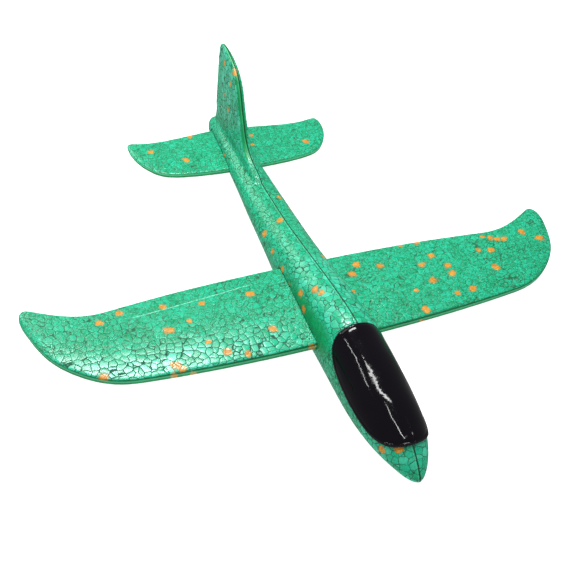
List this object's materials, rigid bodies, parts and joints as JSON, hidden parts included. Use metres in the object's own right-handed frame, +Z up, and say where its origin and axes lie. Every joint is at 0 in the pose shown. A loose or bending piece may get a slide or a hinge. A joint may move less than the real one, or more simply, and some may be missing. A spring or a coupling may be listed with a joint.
{
  "type": "toy airplane",
  "caption": "Hand-launched foam toy glider with a curved one-piece wing and a tailplane pushed through slots in the body, an upright fin and a black lift-off canopy.",
  "frame": {"origin": "under the middle of the glider's bounding box, level with the flat of its belly", "axes": "-Y is the way the nose points and +Z is up, so +X is towards the left wing tip of a pilot who faces forward"},
  "size_m": [0.4802, 0.4654, 0.1233],
  "materials": {
    "green_foam": "moulded bead foam, satin skin",
    "black_plastic": "glossy",
    "steel": "plain turned"
  },
  "bodies": {
    "fuselage": {"fuselage": "green_foam", "nose_weight": "steel"},
    "wing": {"wing": "green_foam"},
    "tailplane": {"tailplane": "green_foam"},
    "canopy": {"canopy": "black_plastic"}
  },
  "joints": [
    {"name": "wing_slide", "type": "hinge", "parent": "fuselage", "child": "wing", "pos_m": [0, -0.05515, 1.98235], "axis": [0, 1, 0], "range_deg": [-8, 8]},
    {"name": "tail_slide", "type": "hinge", "parent": "fuselage", "child": "tailplane", "pos_m": [0, 0.172, 1.1114], "axis": [0, 1, 0], "range_deg": [-6.7, 6.7]},
    {"name": "canopy_lift", "type": "slide", "parent": "fuselage", "child": "canopy", "axis": [0, 0, 1], "range_m": [0, 0.045]}
  ]
}
